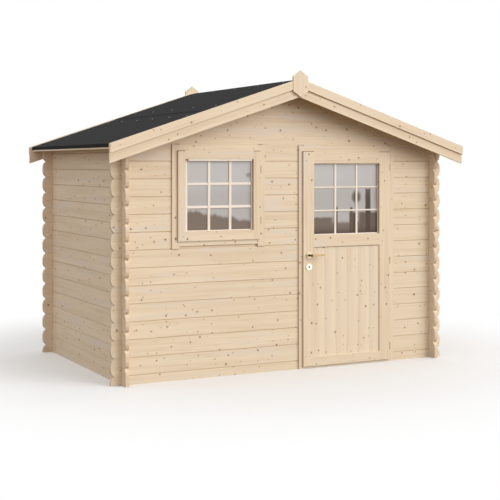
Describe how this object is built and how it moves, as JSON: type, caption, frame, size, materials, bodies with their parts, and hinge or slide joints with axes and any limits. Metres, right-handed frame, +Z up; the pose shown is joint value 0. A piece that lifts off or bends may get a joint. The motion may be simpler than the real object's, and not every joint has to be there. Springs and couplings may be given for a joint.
{
  "type": "garden shed",
  "caption": "Gable-roofed timber log shed with a part-glazed hinged door, a lever handle and a barred window, under a felted roof with barge boards.",
  "frame": {"origin": "centre of the walls' plan, on the ground, on the underside of the middle floor bearer", "axes": "+Z up, +X along the front from the window to the door, -Y out of the front"},
  "size_m": [3.132, 2.107, 2.3722],
  "materials": {
    "log_wood": "planed untreated spruce",
    "roof_wood": "planed untreated spruce",
    "floor_wood": "planed untreated spruce",
    "joinery_wood": "planed untreated spruce",
    "roof_felt": "mineral-faced bitumen felt",
    "pane_glass": "clear float glass",
    "hinge_steel": "zinc plated",
    "handle_steel": "satin"
  },
  "bodies": {
    "shed": {"front_wall_logs_even": "log_wood", "front_wall_logs_odd": "log_wood", "back_wall_logs_even": "log_wood", "back_wall_logs_odd": "log_wood", "left_wall_logs_even": "log_wood", "left_wall_logs_odd": "log_wood", "right_wall_logs_even": "log_wood", "right_wall_logs_odd": "log_wood", "ridge_purlin": "roof_wood", "side_purlins": "roof_wood", "roof_boards_left": "roof_wood", "roof_boards_right": "roof_wood", "eave_strip_left": "roof_wood", "eave_strip_right": "roof_wood", "front_barge_boards": "roof_wood", "back_barge_boards": "roof_wood", "front_barge_strips": "roof_wood", "back_barge_strips": "roof_wood", "front_apex_plate": "roof_wood", "back_apex_plate": "roof_wood", "floor_bearers": "floor_wood", "floor_boards": "floor_wood", "door_jambs": "joinery_wood", "door_head": "joinery_wood", "door_threshold": "joinery_wood", "window_jambs": "joinery_wood", "window_head": "joinery_wood", "window_sill": "joinery_wood", "window_sash_stiles": "joinery_wood", "window_sash_rails": "joinery_wood", "roof_felt_left": "roof_felt", "roof_felt_right": "roof_felt", "window_glass": "pane_glass", "door_hinge_pins": "hinge_steel", "window_hinges": "hinge_steel"},
    "door": {"door_stiles": "joinery_wood", "door_rails": "joinery_wood", "door_panel": "joinery_wood", "door_glass": "pane_glass", "door_hinge_knuckles": "hinge_steel", "handle_roses": "handle_steel", "lock_plates": "handle_steel"},
    "handle": {"door_handle": "handle_steel"}
  },
  "joints": [
    {"name": "door_swing", "type": "hinge", "parent": "shed", "child": "door", "pos_m": [0.9595, -0.8965, 0.84], "axis": [0, 0, 1], "range_deg": [0, 110]},
    {"name": "handle_turn", "type": "hinge", "parent": "door", "child": "handle", "pos_m": [0.18, -0.881, 0.91], "axis": [0, 1, 0], "range_deg": [0, 45], "stiffness_Nm_per_rad": 0.8, "springref_deg": -34.38}
  ]
}
